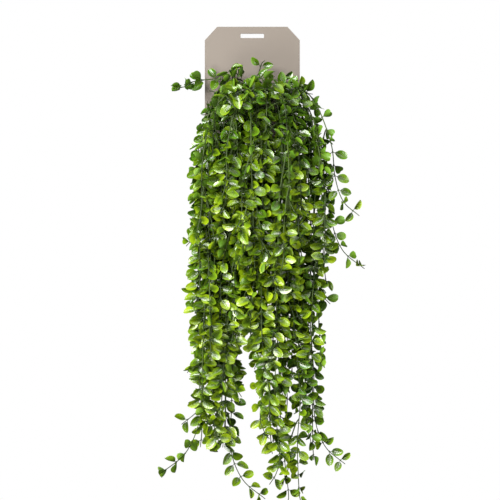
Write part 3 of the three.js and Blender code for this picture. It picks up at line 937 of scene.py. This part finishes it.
def stem_plastic():
    plastic = Finish("stem_plastic")
    place = plastic.place()
    scale = (1.0, 1.0, STEM_STREAK)
    drawn_out = plastic.node("ShaderNodeMapping", {}, {"Vector": place, "Scale": scale})
    cloud = plastic.noise(drawn_out, STEM_CLOUD, 3.0)
    grain = plastic.noise(drawn_out, STEM_GRAIN, 3.0)
    age = plastic.attribute("age")
    pale = (cloud.smooth(0.35, 0.7) * 0.7 + 0.3 * grain) * (0.35 + 0.65 * age)
    colour = plastic.mix(pale, STEM_DARK, STEM_PALE)
    relief = plastic.bump(grain, STEM_RELIEF)
    rough = 0.5 + 0.15 * grain
    return plastic.surface({
        "Base Color": colour, "Roughness": rough, "Normal": relief, "Specular IOR Level": 0.25,
    })


stem_tree, stem_sockets = build_stem_tree()
stem_finish = stem_plastic()
STEM_SIDES = 7


def carry(mesh, name, kind, values):
    """Stores a value for each point, which a node tree or a finish reads by its name."""
    mesh.attributes.new(name, kind, "POINT").data.foreach_set("value", values)


def vine_stems(vine):
    """All the stems of one vine as one piece."""
    points = []
    edges = []
    thick = []
    age = []
    for strand in (s for s in strands if s.vine == vine):
        stations = stem_stations(strand)
        for k, (s, radius) in enumerate(stations):
            if k:
                edges.append((len(points) - 1, len(points)))
            points.append(tuple(strand.at(s) * MM))
            thick.append(radius * MM)
            age.append(min(1.0, (strand.length - s) / FRESH_RUN))
    mesh = bpy.data.meshes.new("strands")
    mesh.from_pydata(points, edges, [])
    carry(mesh, "thick", "FLOAT", thick)
    carry(mesh, "age", "FLOAT", age)
    source = add_object("strands", mesh)
    values = {"Sides": STEM_SIDES, "Finish": stem_finish}
    piece = grown(source, stem_tree, stem_sockets, values, f"stems_{vine}")
    seat_piece(piece, f"vine_{vine}")


for row in VINES:
    vine_stems(row[0])


# Leaves: each pair is one moulding of soft green plastic pushed on to the stem, a thin stalk
# and a broad cupped blade with a small point, dark where it starts and yellow-green to its rim.
STALK_LENGTH = 3.5
STALK_RADIUS = 0.42
ROOT_SUNK = 0.3
ROOT_SWELL = 1.15
STALK_STATIONS = (-ROOT_SUNK, 0.55 * STALK_LENGTH, STALK_LENGTH - 0.3)
BLADE_LENGTH = 16.0
BLADE_HALF = 6.2
BLADE_THICK = 0.5
BLADE_STATIONS = (0.05, 0.15, 0.29, 0.45, 0.62, 0.78, 0.91)
# The outline is a half sine wave over a power of the length, and softened by a second power
BLADE_SHAPE = (0.9, 0.55)
# The cup's curve across the blade, how far it draws the rim in, half the width of the fold
# along the midrib, and how fast the rim's waves follow
CUP_POWER = 1.7
CUP_DRAW = 0.035
FOLD_HALF = 0.35
WAVE_RATE = 9
# Shares of the blade's thickness above and below its middle face
ABOVE = 0.4
BELOW = 0.6
# How far each form's sides rise, its tip falls, its midrib folds in and its rim waves, in mm
LEAF_FORMS = (
    (3.0, 1.2, 0.6, 0.25),
    (4.2, -0.8, 0.7, 0.15),
    (2.0, 4.2, 0.4, 0.40),
    (3.2, -2.6, 0.9, 0.20),
    (1.4, 2.2, 0.3, 0.55),
    (3.8, 3.0, 0.6, 0.20),
)
# A ring's points across the blade: the upper face from rim to rim, then back below it
RING = (1.0, 0.55, 0.0, -0.55, -1.0, -0.55, 0.0, 0.55)
# The stalk's place on the blade's chart: before its start, on the midrib, on neither face
ON_STALK = (-0.02, 0.5, 0.5)


def blade_half(u):
    """Half the blade's width at a share of its length."""
    power, soft = BLADE_SHAPE
    return BLADE_HALF * math.sin(math.pi * u**power) ** soft


def leaf_form(index, rise, fall, fold, wave):
    """One leaf along +X with its upper face to +Z: a loft of rings of eight points."""
    sides = len(RING)
    rings = []
    for x in STALK_STATIONS:
        radius = STALK_RADIUS * (ROOT_SWELL if x < 0 else 1.0)
        row = []
        for k in range(sides):
            angle = 2 * math.pi * k / sides
            row.append((x, radius * math.cos(angle), radius * math.sin(angle), *ON_STALK))
        rings.append(row)
    for u in BLADE_STATIONS:
        half = blade_half(u)
        row = []
        for k, v in enumerate(RING):
            x = STALK_LENGTH + u * BLADE_LENGTH
            spread = half / BLADE_HALF
            y = half * v * (1 - CUP_DRAW * rise * v * v)
            z = rise * abs(v) ** CUP_POWER * spread - fall * u * u
            z -= fold * spread * math.exp(-((v / FOLD_HALF) ** 2))
            phase = 2.1 * index + (1.3 if v > 0 else 0)
            z += wave * abs(v) ** 3 * math.sin(WAVE_RATE * u + phase)
            plump = BLADE_THICK * (1 - v * v) ** 0.5 * (0.6 + 0.4 * math.sin(math.pi * u))
            under = 1.0 if k > sides // 2 else 0.0
            z += plump * (-BELOW if under else ABOVE)
            if abs(v) == 1:
                under = 0.5
            row.append((x, y, z, u, 0.5 + 0.5 * v, under))
        rings.append(row)
    points = [point for row in rings for point in row]
    tip = len(points)
    points.append((STALK_LENGTH + BLADE_LENGTH, 0, -fall - 0.3 * fold, 1.0, 0.5, 0.5))
    faces = [tuple(range(sides))]
    for r in range(len(rings) - 1):
        for k in range(sides):
            n = (k + 1) % sides
            a = r * sides
            faces.append((a + k, a + sides + k, a + sides + n, a + n))
    last = (len(rings) - 1) * sides
    for k in range(sides):
        faces.append((last + k, tip, last + (k + 1) % sides))
    made = mesh_object(f"leaf_form_{index}", [p[:3] for p in points], faces)
    mesh = made.data
    layer = mesh.uv_layers.new(name="blade")
    for loop in mesh.loops:
        layer.data[loop.index].uv = points[loop.vertex_index][3:5]
    carry(mesh, "under", "FLOAT", [point[5] for point in points])
    # The blade's rim is crisp where its two faces meet
    rim = mesh.attributes.new("sharp_edge", "BOOLEAN", "EDGE")
    blade = range(len(STALK_STATIONS) * sides, tip)
    on_rim = {tip, *(i for i in blade if i % sides in (0, sides // 2))}
    for edge in mesh.edges:
        a, b = edge.vertices
        forward = a % sides == b % sides or tip in (a, b)
        rim.data[edge.index].value = forward and a in on_rim and b in on_rim
    return made


def build_leaf_tree():
    """Geometry Nodes: one of the leaf forms on each seat, turned and sized as it says."""
    tree = bpy.data.node_groups.new("leaves_on_seats", "GeometryNodeTree")
    panel = tree.interface
    panel.new_socket("Seats", in_out="INPUT", socket_type="NodeSocketGeometry")
    forms = panel.new_socket("Forms", in_out="INPUT", socket_type="NodeSocketCollection")
    finish = panel.new_socket("Finish", in_out="INPUT", socket_type="NodeSocketMaterial")
    panel.new_socket("Leaves", in_out="OUTPUT", socket_type="NodeSocketGeometry")
    given = add_node(tree, "NodeGroupInput", {}, {})
    read = {}
    for name, kind in (("turn", "QUATERNION"), ("size", "FLOAT"), ("form", "INT")):
        read[name] = add_node(
            tree, "GeometryNodeInputNamedAttribute", {"data_type": kind}, {"Name": name}
        ).outputs[0]
    choice = add_node(
        tree, "GeometryNodeCollectionInfo", {},
        {"Collection": given.outputs["Forms"], "Separate Children": True, "Reset Children": True},
    )
    placed = add_node(
        tree, "GeometryNodeInstanceOnPoints", {},
        {
            "Points": given.outputs["Seats"], "Instance": choice.outputs[0],
            "Pick Instance": True, "Instance Index": read["form"],
            "Rotation": read["turn"], "Scale": read["size"],
        },
    )
    real = add_node(tree, "GeometryNodeRealizeInstances", {}, {"Geometry": placed.outputs[0]})
    coated = add_node(
        tree, "GeometryNodeSetMaterial", {},
        {"Geometry": real.outputs[0], "Material": given.outputs["Finish"]},
    )
    add_node(tree, "NodeGroupOutput", {}, {0: coated.outputs[0]})
    return tree, {"Forms": forms.identifier, "Finish": finish.identifier}


# The darkest green colours each leaf's heart, and leaves in painted shade come nearer to it
LEAF_HEART_AND_SHADE = (0.002, 0.016, 0.001)
LEAF_GREEN = (0.018, 0.090, 0.001)
LEAF_RIM = (0.360, 0.460, 0.020)
LEAF_YOUNG = (0.235, 0.325, 0.002)
LEAF_UNDER = (0.080, 0.185, 0.003)
LEAF_CLOUD = 420.0
LEAF_PUCKER = 190.0
LEAF_RELIEF = 0.22 * MM
# Pairs of side veins: how fast they follow along the blade, and how far they run forward
VEIN_RATE = 42.5
VEIN_LEAN = 13.75


def leaf_plastic():
    plastic = Finish("leaf_plastic")
    chart = plastic.node("ShaderNodeUVMap", {"uv_map": "blade"}, {})
    u, v, _ = plastic.axes(chart)
    place = plastic.place()
    across = (v * 2 - 1).abs()
    tint = plastic.attribute("tint")
    # This attribute is each leaf's freshness times painted shade, which darkens the back rows and
    # the crown
    young_and_lit = plastic.attribute("young_and_lit")
    under = plastic.attribute("under").smooth(0.5, 0.6)
    cloud = plastic.noise(place, LEAF_CLOUD)
    # Dark from the stalk along the midrib, then green, then a paler rim and point
    towards = u * 0.85 + 0.65 * across + 0.30 * (cloud - 0.5) + 0.25 * (tint - 0.5)
    green = plastic.mix(young_and_lit * 0.9, LEAF_GREEN, LEAF_YOUNG)
    dark = plastic.mix(young_and_lit * 0.35, LEAF_HEART_AND_SHADE, LEAF_GREEN)
    body = plastic.mix(towards.smooth(0.25, 0.95), dark, green)
    rim = (across + 0.35 * u**2).smooth(0.86, 1.25) * (0.30 + 0.45 * young_and_lit)
    top = plastic.mix(rim, body, LEAF_RIM)
    # Side veins run out and forward from the midrib
    veins = (u * VEIN_RATE - across * VEIN_LEAN).sine() * 0.5 + 0.5
    vein = veins**6.0 * (1 - across) * 0.35
    veined = plastic.mix(vein, top, LEAF_RIM)
    colour = plastic.mix(under * 0.55, veined, LEAF_UNDER)
    rib = 1 - across.smooth(0.0, 0.16)
    pucker = plastic.noise(place, LEAF_PUCKER, 1.0)
    relief = plastic.bump(2.0 * vein - rib + 1.3 * cloud + 3.0 * pucker, LEAF_RELIEF, 0.8)
    rough = 0.22 + 0.14 * cloud + 0.25 * under
    return plastic.surface({
        "Base Color": colour, "Roughness": rough, "Normal": relief, "IOR": 1.5,
        "Specular IOR Level": 0.6, "Coat Weight": 0.08, "Coat Roughness": 0.12, "Coat IOR": 1.8,
    })


leaf_tree, leaf_sockets = build_leaf_tree()
leaf_finish = leaf_plastic()
forms = bpy.data.collections.new("leaf_forms")
bpy.context.scene.collection.children.link(forms)
form_objects = [leaf_form(index, *form) for index, form in enumerate(LEAF_FORMS)]
for made in form_objects:
    bpy.context.scene.collection.objects.unlink(made)
    forms.objects.link(made)

# Nothing of a leaf comes nearer the wall than this
WALL_CLEAR = -3.2
LEAF_SEED = 23
# Leaves are freshest near the tips, and painted shade darkens them in the back rows and in the
# crown, each over a run
YOUNG_RUN = 110.0
DEEP_ROW = -24.0
FRONT_RUN = 50.0
CROWN_LEVEL = -90.0
CROWN_SHADE = 200.0
# How much light the painted shade leaves on the deepest row and on the crown, and the tip's share
# against chance
BACK_ROW_LIGHT = 0.35
CROWN_LIGHT = 0.6
TIP_SHARE = 0.45
draws["state"] = LEAF_SEED


def share_of(run, distance):
    """How much of the run the distance covers, from 0 to 1."""
    return min(1.0, max(0.0, distance / run))


def reaches_wall(seat, axis, across, size):
    """Whether the blade's tip or its widest place comes too near the wall."""
    far = seat[1] + size * (STALK_LENGTH + BLADE_LENGTH) * axis[1]
    wide = seat[1] + size * (STALK_LENGTH + 0.5 * BLADE_LENGTH) * axis[1]
    wide += size * BLADE_HALF * abs(across[1])
    return max(far, wide) > WALL_CLEAR


def vine_leaves(vine):
    """All the leaves of one vine as one piece."""
    seats = []
    turns = []
    sizes = []
    picks = []
    tints = []
    youth_and_light = []
    for strand in (s for s in strands if s.vine == vine):
        for pair in strand.pairs:
            for axis, across, up in pair["leaves"]:
                pick = int(draw((0, len(LEAF_FORMS))))
                tint = draw((0, 1))
                if reaches_wall(pair["seat"], axis, across, pair["size"]):
                    continue
                turn = Matrix((axis, across, up)).transposed().to_quaternion()
                seats.append(tuple(pair["seat"] * MM))
                turns += list(turn)
                sizes.append(pair["size"])
                picks.append(pick)
                tints.append(tint)
                near_tip = 1 - share_of(YOUNG_RUN, strand.length - pair["s"])
                near_tip *= share_of(YOUNG_RUN, strand.length)
                # Painted shade: leaves in the back rows and up in the crown are darker, where
                # less light reaches them
                front = share_of(FRONT_RUN, DEEP_ROW - pair["seat"][1])
                below = share_of(CROWN_SHADE, CROWN_LEVEL - pair["seat"][2])
                fresh_and_lit = TIP_SHARE * near_tip + (1 - TIP_SHARE) * tint
                fresh_and_lit *= BACK_ROW_LIGHT + (1 - BACK_ROW_LIGHT) * front
                youth_and_light.append(fresh_and_lit * (CROWN_LIGHT + (1 - CROWN_LIGHT) * below))
    mesh = bpy.data.meshes.new("seats")
    mesh.from_pydata(seats, [], [])
    carry(mesh, "turn", "QUATERNION", turns)
    carry(mesh, "size", "FLOAT", sizes)
    carry(mesh, "form", "INT", picks)
    carry(mesh, "tint", "FLOAT", tints)
    carry(mesh, "young_and_lit", "FLOAT", youth_and_light)
    source = add_object("seats", mesh)
    values = {"Forms": forms, "Finish": leaf_finish}
    piece = grown(source, leaf_tree, leaf_sockets, values, f"leaves_{vine}")
    seat_piece(piece, f"vine_{vine}")


for row in VINES:
    vine_leaves(row[0])
for made in form_objects:
    bpy.data.objects.remove(made)
bpy.data.collections.remove(forms)


# Studio: a plain pale floor well below the bush, which glows a little and has its own lamp, a
# white surround, and soft lamps, the strongest above and to the left of the viewer. The large
# lamp behind lights the bush's back. It isn't mirrored, so it leaves no glare on leaf edges.
FLOOR_DROP = 1.4
FLOOR_REACH = 2.2
FLOOR_PALE = (0.78, 0.78, 0.77)
FLOOR_SPECK = (0.82, 0.82, 0.81)
FLOOR_CLOUD = 30.0
FLOOR_GLOW = 0.3
SURROUND_LIGHT = 0.03
floor_mesh = bpy.data.meshes.new("floor")
square = ((-1, -1), (1, -1), (1, 1), (-1, 1))
corners = [(x * FLOOR_REACH, y * FLOOR_REACH, -FLOOR_DROP) for x, y in square]
floor_mesh.from_pydata(corners, [], [(0, 1, 2, 3)])
floor = add_object("floor", floor_mesh)
floor.visible_diffuse = False
floor.visible_glossy = False
pale = Finish("pale_floor")
speck = pale.noise(pale.place(), FLOOR_CLOUD, 3.0)
tone = pale.mix(speck, FLOOR_PALE, FLOOR_SPECK)
floor.data.materials.append(pale.surface({
    "Base Color": tone, "Roughness": 0.8,
    "Emission Color": (1, 1, 1), "Emission Strength": FLOOR_GLOW,
}))


def lamp(name, place, target, size, power, mirrored=True):
    """A soft lamp that the camera doesn't see, turned to the target, with its size in metres."""
    data = bpy.data.lights.new(name, "AREA")
    data.shape = "RECTANGLE"
    data.size, data.size_y = size
    data.energy = power
    made = add_object(name, data)
    made.location = place
    made.rotation_euler = (Vector(target) - Vector(place)).to_track_quat("-Z", "Y").to_euler()
    made.visible_camera = False
    made.visible_glossy = mirrored


BUSH = (0, -0.05, -0.3)
lamp("key", (-0.9, -1.45, 0.5), (0, -0.05, -0.4), (1.1, 1.1), 100.0)
lamp("top", (0.5, -0.9, 0.8), (0, -0.05, -0.5), (0.9, 0.9), 7.0)
lamp("side", (1.3, -1.2, -0.1), BUSH, (0.5, 0.9), 11.0)
lamp("low", (-0.4, -1.5, -1.0), (0, -0.05, -0.5), (0.5, 0.5), 19.0)
lamp("back", (0.3, 1.6, -0.4), BUSH, (1.4, 1.4), 60.0, mirrored=False)
lamp("rear", (0.4, 1.2, 1.3), BUSH, (0.8, 0.8), 24.0)
lamp("floor", (0, 0, -0.75), (0, 0, -FLOOR_DROP), (5.0, 5.0), 46.0)

# The surround is white to the camera, and lights the bush only faintly
world = bpy.data.worlds.new("white")
world.use_nodes = True
sky = world.node_tree
sky.nodes.clear()
rays = add_node(sky, "ShaderNodeLightPath", {}, {})
seen = add_node(sky, "ShaderNodeBackground", {}, {"Color": (1, 1, 1), "Strength": 1.0})
light = add_node(
    sky, "ShaderNodeBackground", {}, {"Color": (1, 1, 1), "Strength": SURROUND_LIGHT}
)
both = add_node(
    sky, "ShaderNodeMixShader", {},
    {0: rays.outputs["Is Camera Ray"], 1: light.outputs[0], 2: seen.outputs[0]},
)
add_node(sky, "ShaderNodeOutputWorld", {}, {"Surface": both.outputs[0]})
bpy.context.scene.world = world
bpy.context.scene.view_settings.view_transform = "Standard"
